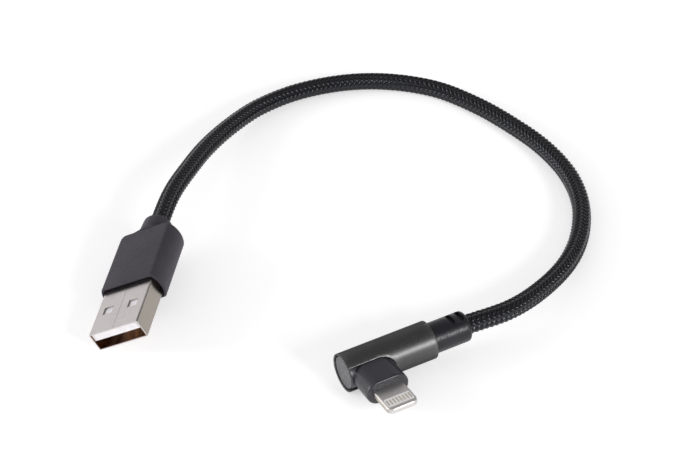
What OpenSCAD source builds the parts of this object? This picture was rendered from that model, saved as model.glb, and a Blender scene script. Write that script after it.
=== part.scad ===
// Short charging cable: a USB-A plug and a right-angle eight-contact tab plug on a braided cord.
// It lies on a table in an open loop. Millimetres, +Z up, origin under the middle of the two plugs.

/* [USB plug] */
// Width of the steel shell
shell_w = 12; // [11.9:0.05:12.1]
// Height of the steel shell
shell_h = 4.5; // [4.4:0.05:4.6]
// Length of shell that stands out of the grip
shell_out = 13; // [11.75:0.05:13.2]
// Width of the moulded grip
grip_w = 14.4; // [13.4:0.1:16]
// Thickness of the moulded grip
grip_h = 6.5; // [6.2:0.1:8]
// Length of the moulded grip without its neck
grip_len = 17.7; // [14:0.1:22]
// Length of the neck behind the grip
neck_len = 4.9; // [3:0.1:8]

/* [Tab plug] */
// Outer diameter of the metal barrel
barrel_d = 8.2; // [8:0.1:9]
// Length of the metal barrel
barrel_len = 19.8; // [18:0.1:24]
// Distance from the barrel's axis to the front of the side block
block_reach = 9.5; // [9:0.1:12]
// Width of the side block along the barrel
block_w = 9.3; // [9:0.1:10]
// Thickness of the side block
block_h = 5.5; // [4.8:0.1:5.6]
// Width of the contact tab
tab_w = 6.7; // [6.6:0.05:6.8]
// Thickness of the contact tab
tab_h = 1.5; // [1.45:0.05:1.55]
// Length of tab that stands out of the side block
tab_out = 6.65; // [6.5:0.05:6.8]
// Diameter of the strain relief
relief_d = 6.6; // [6.2:0.1:7]
// Length of strain relief that stands out of the barrel
relief_out = 8.6; // [7:0.1:12]

/* [Cord] */
// Outer diameter of the braided cord
cord_d = 4.2; // [4:0.1:4.2]
// Distance between the rings that the cord is swept through
ring_gap = 9; // [8:1:12]

/* [Hidden] */
$fn = 48;
gap = 0.05;

// Where the plugs lie: the USB plug's frame has its origin in the mouth and +Y towards the cord,
// and the tab plug's frame has its origin in the barrel's closed end and +X towards the cord.
usb_at = [-33.05, -6.2, 5.2];
usb_turn = [2.3, -28.2, -9.3];
tab_at = [12.7, -16.4, 4.1];
tab_turn = [-4.7, -3, 27.4];

// USB plug
shell_wall = 0.3;
shell_corner = 0.6;
shell_len = 16;
window = [2.3, 2.1];
window_x = 3.05;
window_y = 5.6;
in_w = shell_w - 2 * shell_wall;
in_h = shell_h - 2 * shell_wall;
tongue_h = 1.84;
tongue_front = 0.35;
base_front = 8.6;
base_back = 13.6;
contact_x = [-3.5, -1, 1, 3.5];
contact_front = [1.2, 2.2, 2.2, 1.2];
contact_w = 1;
contact_t = 0.25;
contact_z = in_h / 2 - tongue_h;
tail_back = 16.2;
mould_back = 22.2;
grip_back = shell_out + grip_len;
neck_d = 7;
neck_back = grip_back + neck_len;
grip_bow = 5.8;
lead_pocket = [9.2, 6.6, 2.6];
crimp_seat = 18;
grip_shoulder = 1.3;

// Tab plug
barrel_wall = 0.45;
core_d = barrel_d - 2 * barrel_wall - 2 * gap;
core_back = 11.8;
block_x = 5.4;
notch_gap = 0.3;
tab_tip = block_reach + tab_out;
tab_root = 4;
tab_corner = 1.1;
field = [5.9, 2.7];
field_y = -(tab_tip - 0.8 - field[1] / 2);
pad_count = 8;
pad_pitch = 0.7;
pad = [0.42, 1.7, 0.15];
board_t = 0.5;
board_w = 5;
board_front = -field_y - field[1] / 2 - gap;
board_back = 2;
lead_y = [-1.5, -0.5, 0.5, 1.5];
board_pocket = [8.2, 8.2, 2.2];
board_pocket_at = [1.6, -5.4, -1];
wire_pocket = [3, 4.2, 2.2];
wire_pocket_at = [9, -2.1, -1];
relief_root = 12.2;
relief_back = barrel_len + relief_out;
slot_x = [24.9, 27];
slot_w = 1.1;
slot_len = 3.2;
slot_floor = 2.5;
relief_round = 0.8;
relief_step = 0.4;

// Cord: radii of its layers, and how far each one runs into the plugs
braid_r = cord_d / 2;
braid_in = 1.5;
jacket_r = 1.45;
jacket_in = 1.2;
shield_r = 1.15;
shield_in = 1.05;
wire_r = 0.32;
wire_off = 0.45;
wire_usb = [16.25, 17.4, 20.5];
wire_tab = [13.4, 10.2, 9];
wire_rise = [0.5, 0.4, 0.75];
sides = 8;
bore_d = cord_d + 2 * gap;
braid_usb = 22.6;
braid_tab = 15.6;
crimp_len = 2.4;
crimp_d = 3.7;

// Centre of the cord between the neck and the strain relief, as it lies
free_route = [[-25.2, 39.6, 7], [-22.1, 50.1, 6.2], [-18.6, 60.6, 4.8], [-13.5, 71.05, 3.5], [-7.1, 80.1, 2.6],
              [1.9, 87.1, 2.2], [12.9, 91.05, 2.1], [23.9, 91.4, 2.1], [35, 88.2, 2.1], [44.3, 81.5, 2.1],
              [51.9, 73.6, 2.1], [59, 64.2, 2.1], [63.9, 53.6, 2.1], [65.75, 42.6, 2.1], [64.55, 31.1, 2.2],
              [60.9, 20.6, 2.7], [54.8, 10.7, 3.7], [47.5, 2.4, 5]];

// ---- points and frames ----
function turn_x(a, p) = [p[0], p[1] * cos(a) - p[2] * sin(a), p[1] * sin(a) + p[2] * cos(a)];
function turn_y(a, p) = [p[0] * cos(a) + p[2] * sin(a), p[1], p[2] * cos(a) - p[0] * sin(a)];
function turn_z(a, p) = [p[0] * cos(a) - p[1] * sin(a), p[0] * sin(a) + p[1] * cos(a), p[2]];
function usb_point(p) = usb_at + turn_z(usb_turn[2], turn_x(usb_turn[0], turn_y(usb_turn[1], p)));
function tab_point(p) = tab_at + turn_z(tab_turn[2], turn_y(tab_turn[1], turn_x(tab_turn[0], p)));

module in_usb_frame() {
    translate(usb_at) rotate([0, 0, usb_turn[2]]) rotate([usb_turn[0], 0, 0]) rotate([0, usb_turn[1], 0])
        children();
}

module in_tab_frame() {
    translate(tab_at) rotate([0, 0, tab_turn[2]]) rotate([0, tab_turn[1], 0]) rotate([tab_turn[0], 0, 0])
        children();
}

// ---- sweeping a tube along a route ----
function unit(v) = v / norm(v);
function spline(p0, p1, p2, p3, t) =
    0.5 * (2 * p1 + (p2 - p0) * t + (2 * p0 - 5 * p1 + 4 * p2 - p3) * t * t
           + (3 * p1 - p0 - 3 * p2 + p3) * t * t * t);
function at_end(p, i) = p[max(0, min(len(p) - 1, i))];
function smooth(p) = [
    for (i = [0:len(p) - 2])
        let (steps = max(1, round(norm(p[i + 1] - p[i]) / ring_gap)))
        for (s = [0:steps - 1])
            spline(at_end(p, i - 1), p[i], p[i + 1], at_end(p, i + 2), s / steps),
    p[len(p) - 1]
];
function tangent(p, i) = unit(at_end(p, i + 1) - at_end(p, i - 1));
function side_of(t) = unit(cross(t, [0, 0, 1]));
function ring(p, i, r) =
    let (t = tangent(p, i), s = side_of(t), u = cross(s, t))
    [for (k = [0:sides - 1]) let (a = 360 * (k + 0.5) / sides) p[i] + r * (cos(a) * s + sin(a) * u)];
function wall_faces(rings, first, inward) = [
    for (i = [0:rings - 2], k = [0:sides - 1])
        let (a = first + i * sides + k, b = first + i * sides + (k + 1) % sides)
        inward ? [a, b, b + sides, a + sides] : [a, a + sides, b + sides, b]
];

// A round bar along the points p
module swept_bar(p, r) {
    n = len(p);
    points = [for (i = [0:n - 1]) each ring(p, i, r)];
    caps = [[for (k = [0:sides - 1]) k], [for (k = [sides - 1:-1:0]) (n - 1) * sides + k]];
    polyhedron(points, concat(wall_faces(n, 0, false), caps), convexity = 6);
}

// A tube along the points p
module swept_tube(p, r_out, r_in) {
    n = len(p);
    inner = n * sides;
    last = (n - 1) * sides;
    points = [
        for (i = [0:n - 1]) each ring(p, i, r_out),
        for (i = [0:n - 1]) each ring(p, i, r_in)
    ];
    start = [for (k = [0:sides - 1]) let (j = (k + 1) % sides) [k, j, inner + j, inner + k]];
    finish = [for (k = [0:sides - 1]) let (j = (k + 1) % sides)
        [last + j, last + k, inner + last + k, inner + last + j]];
    polyhedron(points, concat(wall_faces(n, 0, false), wall_faces(n, inner, true), start, finish),
               convexity = 6);
}

// The cord's centre, from usb_y in the USB plug's frame to tab_x in the tab plug's frame
function cord_path(usb_y, tab_x) = concat(
    [usb_point([0, usb_y, 0])],
    smooth(concat([usb_point([0, 27, 0]), usb_point([0, neck_back, 0])], free_route,
                  [tab_point([relief_back, 0, 0]), tab_point([21, 0, 0])])),
    [tab_point([tab_x, 0, 0])]);

// One conductor: it fans out from its place in the cord to contact k and to solder point k
function wire_path(k) =
    let (core = cord_path(wire_usb[2], wire_tab[0]),
         across = wire_off * (k < 2 ? -1 : 1),
         up = wire_off * (k % 2 == 0 ? 1 : -1))
    concat([usb_point([contact_x[k], wire_usb[0], wire_rise[0]]), usb_point([contact_x[k] * 0.9, wire_usb[1], wire_rise[1]])],
           [for (i = [0:len(core) - 1])
               let (t = tangent(core, i), s = side_of(t), u = cross(s, t)) core[i] + across * s + up * u],
           [for (x = [wire_tab[1], wire_tab[2]]) tab_point([x, lead_y[k], wire_rise[2]])]);

// ---- flat outlines ----
module rounded_rect(w, h, r) {
    hull() for (x = [-1, 1], y = [-1, 1]) translate([x * (w / 2 - r), y * (h / 2 - r)]) circle(r, $fn = 32);
}

// The grip's section is flat on top and below, with bowed sides
function bowed_side(n) = [for (i = [0 : n]) let (a = asin(grip_h / 2 / grip_bow) * (2 * i / n - 1))
    [grip_w / 2 - grip_bow + grip_bow * cos(a), grip_bow * sin(a)]];

module grip_outline() {
    polygon(concat(bowed_side(24), [for (p = bowed_side(24)) -p]));
}

module slot_outline(w, h) {
    square([w - h, h], center = true);
    for (x = [-1, 1]) translate([x * (w - h) / 2, 0]) circle(d = h);
}

// A prism along +Y from y0 to y1 whose section is the flat child
module along_y(y0, y1) {
    translate([0, y1, 0]) rotate([90, 0, 0]) linear_extrude(y1 - y0) children();
}

// A ring of revolution about +X from x0 to x1
module ring_x(x0, x1, d_out, d_in) {
    translate([x0, 0, 0]) rotate([0, 90, 0]) difference() {
        cylinder(h = x1 - x0, d = d_out);
        translate([0, 0, -1]) cylinder(h = x1 - x0 + 2, d = d_in);
    }
}

// ---- USB plug ----
module usb_shell() color([0.78, 0.76, 0.73]) in_usb_frame() {
    difference() {
        along_y(0, shell_len) rounded_rect(shell_w, shell_h, shell_corner);
        along_y(-1, shell_len + 1) rounded_rect(in_w, in_h, shell_corner - shell_wall);
        for (x = [-1, 1]) translate([x * window_x - window[0] / 2, window_y, -shell_h])
            cube([window[0], window[1], 2 * shell_h]);
    }
}

module usb_insulator() color([0.93, 0.93, 0.9]) in_usb_frame() {
    difference() {
        union() {
            translate([gap - in_w / 2, tongue_front, in_h / 2 - tongue_h])
                cube([in_w - 2 * gap, base_front, tongue_h - gap]);
            along_y(base_front, base_back) rounded_rect(in_w - 2 * gap, in_h - 2 * gap, 0.25);
        }
        for (k = [0:3]) translate([contact_x[k] - contact_w / 2 - gap, contact_front[k] - gap, contact_z - 1])
            cube([contact_w + 2 * gap, base_back, 1 + contact_t + gap]);
    }
}

module usb_contacts() color([0.85, 0.68, 0.3]) in_usb_frame() {
    for (k = [0:3]) translate([contact_x[k] - contact_w / 2, contact_front[k], contact_z - 0.1])
        cube([contact_w, tail_back - contact_front[k] - 1, contact_t + 0.1]);
}

module usb_solder() color([0.72, 0.72, 0.74]) in_usb_frame() {
    for (x = contact_x) translate([x, tail_back - 0.9, contact_z + contact_t + gap])
        cylinder(h = 0.5, d = 1.3);
}

module usb_inner_mould() color([0.88, 0.87, 0.82]) in_usb_frame() {
    difference() {
        union() {
            along_y(base_back + gap, shell_len + gap) rounded_rect(in_w - 2 * gap, in_h - 2 * gap, 0.25);
            along_y(shell_len + gap, mould_back) rounded_rect(shell_w, shell_h, shell_corner);
        }
        translate([-lead_pocket[0] / 2, base_back - 1, -lead_pocket[2] / 2]) cube(lead_pocket);
        along_y(crimp_seat, mould_back + 1) circle(d = crimp_d + 2 * gap);
    }
}

module usb_crimp() color([0.7, 0.68, 0.62]) in_usb_frame() {
    along_y(mould_back - crimp_len, mould_back) difference() {
        circle(d = crimp_d);
        circle(r = jacket_r + gap);
    }
}

module usb_overmould() color([0.13, 0.13, 0.14]) in_usb_frame() {
    difference() {
        union() {
            intersection() {
                along_y(shell_out, grip_back) grip_outline();
                translate([0, 0, -grip_h]) linear_extrude(2 * grip_h) hull() {
                    translate([-grip_w / 2, shell_out]) square([grip_w, 2]);
                    for (x = [-1, 1]) translate([x * (grip_w / 2 - grip_shoulder), grip_back - grip_shoulder])
                        circle(grip_shoulder, $fn = 32);
                }
            }
            along_y(grip_back - 1, neck_back) circle(d = neck_d);
        }
        along_y(shell_out - 1, mould_back + gap) rounded_rect(shell_w + 2 * gap, shell_h + 2 * gap, shell_corner);
        along_y(mould_back, neck_back + 1) circle(d = bore_d);
    }
}

// ---- cord ----
module braid_sleeve() color([0.09, 0.09, 0.1])
    swept_tube(cord_path(braid_usb, braid_tab), braid_r, braid_in);

module cord_jacket() color([0.2, 0.2, 0.2])
    swept_tube(cord_path(mould_back - crimp_len, braid_tab - gap - crimp_len), jacket_r, jacket_in);

module cord_shield() color([0.75, 0.76, 0.78])
    swept_tube(cord_path(braid_usb - 0.5, braid_tab - 0.5), shield_r, shield_in);

module wire_power() color([0.75, 0.1, 0.08]) swept_bar(wire_path(0), wire_r);

module wire_data_minus() color([0.9, 0.9, 0.88]) swept_bar(wire_path(1), wire_r);

module wire_data_plus() color([0.1, 0.5, 0.2]) swept_bar(wire_path(2), wire_r);

module wire_ground() color([0.12, 0.12, 0.12]) swept_bar(wire_path(3), wire_r);

// ---- tab plug ----
// Outline of the side block's section, seen from the tab's tip
module block_outline(grow) {
    translate([block_x, 0]) slot_outline(block_w + grow, block_h + grow);
}

module barrel_sleeve() color([0.3, 0.3, 0.32]) in_tab_frame() {
    difference() {
        ring_x(0, barrel_len, barrel_d, barrel_d - 2 * barrel_wall);
        along_y(-barrel_d, 0) {
            block_outline(notch_gap);
            translate([-1, -(block_h + notch_gap) / 2]) square([block_x + 1, block_h + notch_gap]);
        }
    }
}

module tab_housing() color([0.16, 0.16, 0.17]) in_tab_frame() {
    difference() {
        union() {
            translate([0.25, 0, 0]) rotate([0, 90, 0]) cylinder(h = core_back - 0.25, d = core_d);
            along_y(-block_reach, 0) block_outline(0);
        }
        along_y(-block_reach - 1, -board_back) translate([block_x, 0]) slot_outline(tab_w + 2 * gap, tab_h + 2 * gap);
        translate(board_pocket_at) cube(board_pocket);
        translate(wire_pocket_at) cube(wire_pocket);
    }
}

module tab_outline() {
    hull() {
        translate([block_x - tab_w / 2, -block_reach + tab_root]) square([tab_w, 0.1]);
        for (x = [-1, 1]) translate([block_x + x * (tab_w / 2 - tab_corner), -tab_tip + tab_corner])
            circle(tab_corner, $fn = 32);
    }
}

module tab_frame() color([0.8, 0.78, 0.75]) in_tab_frame() {
    difference() {
        intersection() {
            along_y(-tab_tip, -block_reach + tab_root) translate([block_x, 0]) slot_outline(tab_w, tab_h);
            translate([0, 0, -tab_h]) linear_extrude(2 * tab_h) tab_outline();
        }
        translate([block_x, field_y, -tab_h]) linear_extrude(2 * tab_h) rounded_rect(field[0], field[1], 0.3);
        translate([block_x - board_w / 2 - gap, field_y, -board_t / 2 - gap])
            cube([board_w + 2 * gap, tab_tip, board_t + 2 * gap]);
    }
}

module tab_insulator() color([0.95, 0.95, 0.93]) in_tab_frame() {
    difference() {
        translate([block_x, field_y, gap - tab_h / 2]) linear_extrude(tab_h - 2 * gap)
            rounded_rect(field[0] - 2 * gap, field[1] - 2 * gap, 0.25);
        for (z = [-1, 1]) pad_row(z, gap);
    }
}

// Eight pads on the face that z names, each grown by the given clearance
module pad_row(z, grow) {
    for (k = [0:pad_count - 1])
        translate([block_x + (k - (pad_count - 1) / 2) * pad_pitch, field_y, z * (tab_h / 2 - pad[2] / 2 - gap)])
            cube([pad[0] + 2 * grow, pad[1] + 2 * grow, pad[2] + 2 * grow], center = true);
}

module tab_pads_top() color([0.82, 0.74, 0.55]) in_tab_frame() pad_row(1, 0);

module tab_pads_bottom() color([0.82, 0.74, 0.55]) in_tab_frame() pad_row(-1, 0);

module tab_circuit_board() color([0.1, 0.35, 0.2]) in_tab_frame() {
    translate([block_x - board_w / 2, -board_front, -board_t / 2]) cube([board_w, board_front - 5, board_t]);
    translate([2, -5, -board_t / 2]) cube([7.4, board_back + 5, board_t]);
}

module tab_chip() color([0.15, 0.15, 0.16]) in_tab_frame() {
    translate([3, -3.6, board_t / 2 + gap]) cube([2.4, 2.4, 0.7]);
}

module tab_capacitors() color([0.65, 0.55, 0.4]) in_tab_frame() {
    for (y = [-3.4, -2.2, -1]) translate([6.2, y, board_t / 2 + gap]) cube([1, 0.5, 0.5]);
}

module tab_solder() color([0.72, 0.72, 0.74]) in_tab_frame() {
    for (y = lead_y) translate([8.55, y, board_t / 2 + gap]) cylinder(h = 0.6, d = 0.8);
}

module barrel_crimp() color([0.7, 0.68, 0.62]) in_tab_frame() {
    ring_x(braid_tab - gap - crimp_len, braid_tab - gap, crimp_d, 2 * (jacket_r + gap));
}

module strain_relief() color([0.11, 0.11, 0.12]) in_tab_frame() {
    difference() {
        rotate([0, 90, 0]) rotate_extrude() difference() {
            union() {
                translate([0, relief_root]) square([core_d / 2, barrel_len - relief_root - relief_step]);
                translate([0, relief_root]) square([relief_d / 2, relief_back - relief_root - relief_round]);
                translate([0, relief_back - 2]) square([relief_d / 2 - relief_round, 2]);
                translate([relief_d / 2 - relief_round, relief_back - relief_round]) circle(relief_round);
            }
            translate([-1, relief_root - 1]) square([1 + crimp_d / 2 + gap, braid_tab - relief_root + 1]);
            translate([-1, relief_root - 1]) square([1 + bore_d / 2, relief_back - relief_root + 2]);
        }
        for (x = slot_x, z = [-1, 1])
            translate([x, 0, z * (slot_floor + 1)]) cube([slot_w, slot_len, 2], center = true);
    }
}

usb_shell();
usb_insulator();
usb_contacts();
usb_solder();
usb_inner_mould();
usb_crimp();
usb_overmould();
braid_sleeve();
cord_jacket();
cord_shield();
wire_power();
wire_data_minus();
wire_data_plus();
wire_ground();
barrel_sleeve();
tab_housing();
tab_frame();
tab_insulator();
tab_pads_top();
tab_pads_bottom();
tab_circuit_board();
tab_chip();
tab_capacitors();
tab_solder();
barrel_crimp();
strain_relief();
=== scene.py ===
"""Short braided charging cable with a USB-A plug and a right-angle tab plug, lying in an open loop.

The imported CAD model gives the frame. Each class below makes one sub-assembly around it: the cord
with its braid, the USB plug, the angled tab plug, and the studio that they lie in.
"""
import logging
import math
import random
from dataclasses import dataclass, field
from enum import Enum
from typing import Callable, Iterable, Sequence

import bmesh
import bpy
from mathutils import Matrix, Vector, noise


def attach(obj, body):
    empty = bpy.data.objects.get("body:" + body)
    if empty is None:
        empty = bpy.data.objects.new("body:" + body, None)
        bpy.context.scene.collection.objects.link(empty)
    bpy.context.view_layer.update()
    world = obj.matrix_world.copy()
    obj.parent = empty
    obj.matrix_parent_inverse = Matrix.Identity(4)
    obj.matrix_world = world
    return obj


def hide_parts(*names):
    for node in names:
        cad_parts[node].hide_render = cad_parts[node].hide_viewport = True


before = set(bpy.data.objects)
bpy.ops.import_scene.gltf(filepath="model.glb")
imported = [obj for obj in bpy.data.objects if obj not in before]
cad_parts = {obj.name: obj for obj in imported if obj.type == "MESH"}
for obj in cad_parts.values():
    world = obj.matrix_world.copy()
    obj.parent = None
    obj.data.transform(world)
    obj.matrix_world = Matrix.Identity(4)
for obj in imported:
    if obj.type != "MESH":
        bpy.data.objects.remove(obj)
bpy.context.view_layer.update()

log = logging.getLogger("cable")

MM = 0.001
BODY = "root"
Colour = tuple[float, float, float]
Outline = list[tuple[float, float]]
Loop = list[tuple[float, float, float]]
Socket = bpy.types.NodeSocket
Node = bpy.types.Node


# Shader building


class NodeSheet:
    """A node tree with short calls for adding and joining nodes."""

    def __init__(self, tree: bpy.types.NodeTree) -> None:
        """Holds the tree that the calls work on."""
        self.tree = tree

    def add(self, kind: str, **settings: object) -> Node:
        """Adds one node.

        Args:
            kind: Blender's node type, such as "ShaderNodeMath".
            **settings: Properties of the node, by name.

        Returns:
            The new node.
        """
        made = self.tree.nodes.new(kind)
        for name, value in settings.items():
            setattr(made, name, value)
        return made

    def feed(self, target: Socket, source: object) -> None:
        """Joins a socket to a source, or sets its value.

        Args:
            target: The input socket.
            source: An output socket, a number, or a colour or vector.
        """
        if isinstance(source, Socket):
            self.tree.links.new(source, target)
        else:
            target.default_value = source

    def maths(self, operation: str, a: object, b: object = 0.0, clamp: bool = False) -> Socket:
        """Adds a Math node.

        Args:
            operation: The name of the operation, such as "MULTIPLY".
            a: The first value or socket.
            b: The second value or socket.
            clamp: Whether the result is kept between 0 and 1.

        Returns:
            The result's socket.
        """
        made = self.add("ShaderNodeMath", operation=operation, use_clamp=clamp)
        self.feed(made.inputs[0], a)
        self.feed(made.inputs[1], b)
        return made.outputs[0]

    def spread(
        self, value: object, low: float, high: float, to_low: float = 0.0, to_high: float = 1.0
    ) -> Socket:
        """Maps a value from one range to another, clamped.

        Args:
            value: The socket that is mapped.
            low: The value that becomes to_low.
            high: The value that becomes to_high.
            to_low: The result at low.
            to_high: The result at high.

        Returns:
            The result's socket.
        """
        made = self.add("ShaderNodeMapRange", clamp=True)
        self.feed(made.inputs["Value"], value)
        limits = {"From Min": low, "From Max": high, "To Min": to_low, "To Max": to_high}
        for name, number in limits.items():
            made.inputs[name].default_value = number
        return made.outputs["Result"]

    def noise(self, vector: object, scale: object, detail: float) -> Socket:
        """Adds a noise texture.

        Args:
            vector: The coordinates' socket.
            scale: How many features fit in a metre, as a number or a socket.
            detail: How many octaves the noise has.

        Returns:
            The noise's value, around 0.5.
        """
        made = self.add("ShaderNodeTexNoise")
        self.feed(made.inputs["Vector"], vector)
        self.feed(made.inputs["Scale"], scale)
        made.inputs["Detail"].default_value = detail
        return made.outputs["Fac"]

    def mottle(
        self,
        vector: object,
        scale: float,
        detail: float,
        low: float = 0.3,
        high: float = 0.7,
        floor: float = 0.0,
    ) -> Socket:
        """Adds noise spread over 0 to 1.

        Args:
            vector: The coordinates' socket.
            scale: How many features fit in a metre.
            detail: How many octaves the noise has.
            low: The noise that becomes floor.
            high: The noise that becomes 1.
            floor: The least result.

        Returns:
            The result's socket.
        """
        return self.spread(self.noise(vector, scale, detail), low, high, floor)

    def stretch(self, vector: object, scale: tuple[float, float, float]) -> Socket:
        """Scales coordinates, with a factor for each axis.

        Args:
            vector: The coordinates' socket.
            scale: The three factors.

        Returns:
            The scaled coordinates' socket.
        """
        made = self.add("ShaderNodeVectorMath", operation="MULTIPLY")
        self.feed(made.inputs[0], vector)
        self.feed(made.inputs[1], scale)
        return made.outputs[0]

    def split(self, vector: Socket) -> bpy.types.bpy_prop_collection:
        """Adds a Separate XYZ node.

        Args:
            vector: The socket that is taken apart.

        Returns:
            The three outputs, by axis.
        """
        made = self.add("ShaderNodeSeparateXYZ")
        self.feed(made.inputs[0], vector)
        return made.outputs

    def blend(self, amount: object, a: object, b: object) -> Socket:
        """Mixes two colours.

        Args:
            amount: How much of b shows, from 0 to 1.
            a: The first colour.
            b: The second colour.

        Returns:
            The mixed colour's socket.
        """
        made = self.add("ShaderNodeMix", data_type="RGBA")
        self.feed(made.inputs[0], amount)
        self.feed(made.inputs[6], opaque(a))
        self.feed(made.inputs[7], opaque(b))
        return made.outputs[2]


def opaque(colour: object) -> object:
    """Adds a full alpha to a plain colour, and leaves a socket as it is."""
    return (*colour, 1.0) if isinstance(colour, tuple) and len(colour) == 3 else colour


def toned(colour: Colour, gain: float, lift: float = 0.0) -> Colour:
    """Returns a lighter or darker colour."""
    return tuple(min(1.0, c * gain + lift) for c in colour)


class Effect(Enum):
    """The surface effects that several finishes share."""

    GRAIN = "moulded_grain"
    DUST = "settled_dust"
    RUB = "edge_rub"
    SCRATCH = "fine_scratches"


class EffectShelf:
    """Builds each shared effect's node group once, and places it where a finish asks."""

    def __init__(self) -> None:
        """Starts with no group built."""
        self.built: dict[Effect, bpy.types.NodeTree] = {}
        self.makers: dict[Effect, Callable[[], bpy.types.NodeTree]] = {
            Effect.GRAIN: self.make_grain,
            Effect.DUST: self.make_dust,
            Effect.RUB: self.make_rub,
            Effect.SCRATCH: self.make_scratch,
        }

    def start(
        self, effect: Effect, inputs: dict[str, float], outputs: Sequence[str]
    ) -> tuple[NodeSheet, Node, Node]:
        """Starts a group with named sockets, the first of which is the coordinates.

        Args:
            effect: Which effect the group is.
            inputs: Name and default of each number that it takes.
            outputs: Name of each value that it gives.

        Returns:
            The group's sheet, its input node and its output node.
        """
        tree = bpy.data.node_groups.new(effect.value, "ShaderNodeTree")
        tree.interface.new_socket("Vector", in_out="INPUT", socket_type="NodeSocketVector")
        for name, default in inputs.items():
            made = tree.interface.new_socket(name, in_out="INPUT", socket_type="NodeSocketFloat")
            made.default_value = default
        for name in outputs:
            tree.interface.new_socket(name, in_out="OUTPUT", socket_type="NodeSocketFloat")
        sheet = NodeSheet(tree)
        return sheet, sheet.add("NodeGroupInput"), sheet.add("NodeGroupOutput")

    def make_grain(self) -> bpy.types.NodeTree:
        """Moulded or blasted grain: fine pits with a broader unevenness under them.

        Returns:
            The group's tree.
        """
        sheet, given, out = self.start(Effect.GRAIN, {"Scale": 9000, "Contrast": 1}, ("Height", "Mask"))
        place, scale = given.outputs["Vector"], given.outputs["Scale"]
        fine = sheet.noise(place, scale, 2.0)
        broad = sheet.noise(place, sheet.maths("MULTIPLY", scale, 0.12), 2.0)
        pits = sheet.maths("MULTIPLY", sheet.maths("SUBTRACT", fine, 0.5), given.outputs["Contrast"])
        sheet.feed(out.inputs["Height"], sheet.maths("ADD", pits, sheet.maths("MULTIPLY", broad, 0.4)))
        sheet.feed(out.inputs["Mask"], sheet.spread(fine, 0.42, 0.66))
        return sheet.tree

    def make_dust(self) -> bpy.types.NodeTree:
        """Settled dust: sparse specks that lie on faces that point up.

        Returns:
            The group's tree.
        """
        sheet, given, out = self.start(Effect.DUST, {"Amount": 0.3}, ("Mask",))
        place = given.outputs["Vector"]
        up = sheet.split(sheet.add("ShaderNodeNewGeometry").outputs["Normal"])
        facing = sheet.spread(up["Z"], 0.1, 0.9)
        specks = sheet.mottle(place, scale=5200.0, detail=1.0, low=0.68, high=0.76)
        patches = sheet.mottle(place, scale=260.0, detail=3.0, low=0.42, high=0.7, floor=0.15)
        lying = sheet.maths("MULTIPLY", sheet.maths("MULTIPLY", facing, specks), patches)
        sheet.feed(out.inputs["Mask"], sheet.maths("MULTIPLY", lying, given.outputs["Amount"], True))
        return sheet.tree

    def make_rub(self) -> bpy.types.NodeTree:
        """Edge rub: outer edges that handling has brightened, broken up by noise.

        Returns:
            The group's tree.
        """
        sheet, given, out = self.start(Effect.RUB, {"Amount": 0.5}, ("Mask",))
        sharp = sheet.spread(sheet.add("ShaderNodeNewGeometry").outputs["Pointiness"], 0.505, 0.57)
        place = given.outputs["Vector"]
        broken = sheet.mottle(place, scale=1400.0, detail=3.0, low=0.35, high=0.62, floor=0.25)
        worn = sheet.maths("MULTIPLY", sharp, broken)
        sheet.feed(out.inputs["Mask"], sheet.maths("MULTIPLY", worn, given.outputs["Amount"], True))
        return sheet.tree

    def make_scratch(self) -> bpy.types.NodeTree:
        """Fine scratches: hairlines along the way that a plug slides, and a few across.

        Returns:
            The group's tree.
        """
        sheet, given, out = self.start(Effect.SCRATCH, {"Density": 1.0}, ("Height", "Mask"))
        place = given.outputs["Vector"]
        along = sheet.noise(sheet.stretch(place, (14000.0, 350.0, 14000.0)), 1.0, detail=2.0)
        across = sheet.noise(sheet.stretch(place, (500.0, 9000.0, 500.0)), 1.0, detail=2.0)
        deep = sheet.spread(along, 0.56, 0.7)
        light = sheet.spread(across, 0.66, 0.78, to_high=0.5)
        both = sheet.maths("MULTIPLY", sheet.maths("ADD", deep, light), given.outputs["Density"], True)
        sheet.feed(out.inputs["Height"], sheet.maths("SUBTRACT", 1.0, sheet.maths("MULTIPLY", both, 0.5)))
        sheet.feed(out.inputs["Mask"], both)
        return sheet.tree

    def place(self, sheet: NodeSheet, effect: Effect, **values: object) -> Node:
        """Places an effect's group in a material.

        Args:
            sheet: The material's sheet.
            effect: Which effect to place.
            **values: Numbers or sockets for the group's inputs, by name.

        Returns:
            The group node.
        """
        if effect not in self.built:
            self.built[effect] = self.makers[effect]()
        made = sheet.add("ShaderNodeGroup", node_tree=self.built[effect])
        for name, value in values.items():
            sheet.feed(made.inputs[name], value)
        return made


EFFECTS = EffectShelf()


class Finish:
    """A finish makes one material, and keeps it for the next piece that asks."""

    def material(self) -> bpy.types.Material:
        """Returns the finish's material, made on the first call.

        Returns:
            The material.
        """
        name = self.label()
        found = bpy.data.materials.get(name)
        if found is None:
            found = bpy.data.materials.new(name)
            found.use_nodes = True
            sheet = NodeSheet(found.node_tree)
            shader = found.node_tree.nodes["Principled BSDF"]
            self.dress(sheet, shader, sheet.add("ShaderNodeTexCoord").outputs["Object"])
        return found

    def label(self) -> str:
        """Returns the material's name, which differs from the CAD's own materials."""
        return getattr(self, "name") + "_finish"

    def dress(self, sheet: NodeSheet, shader: Node, place: Socket) -> None:
        """Joins the nodes that give the finish its look.

        Args:
            sheet: The material's sheet.
            shader: Its Principled BSDF.
            place: Coordinates fixed to the piece, in metres.
        """
        raise NotImplementedError


def roughen(sheet: NodeSheet, shader: Node, mask: Socket, low: float, high: float) -> None:
    """Makes a shader's roughness follow a mask, from low to high."""
    sheet.feed(shader.inputs["Roughness"], sheet.spread(mask, 0.0, 1.0, low, high))


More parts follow.
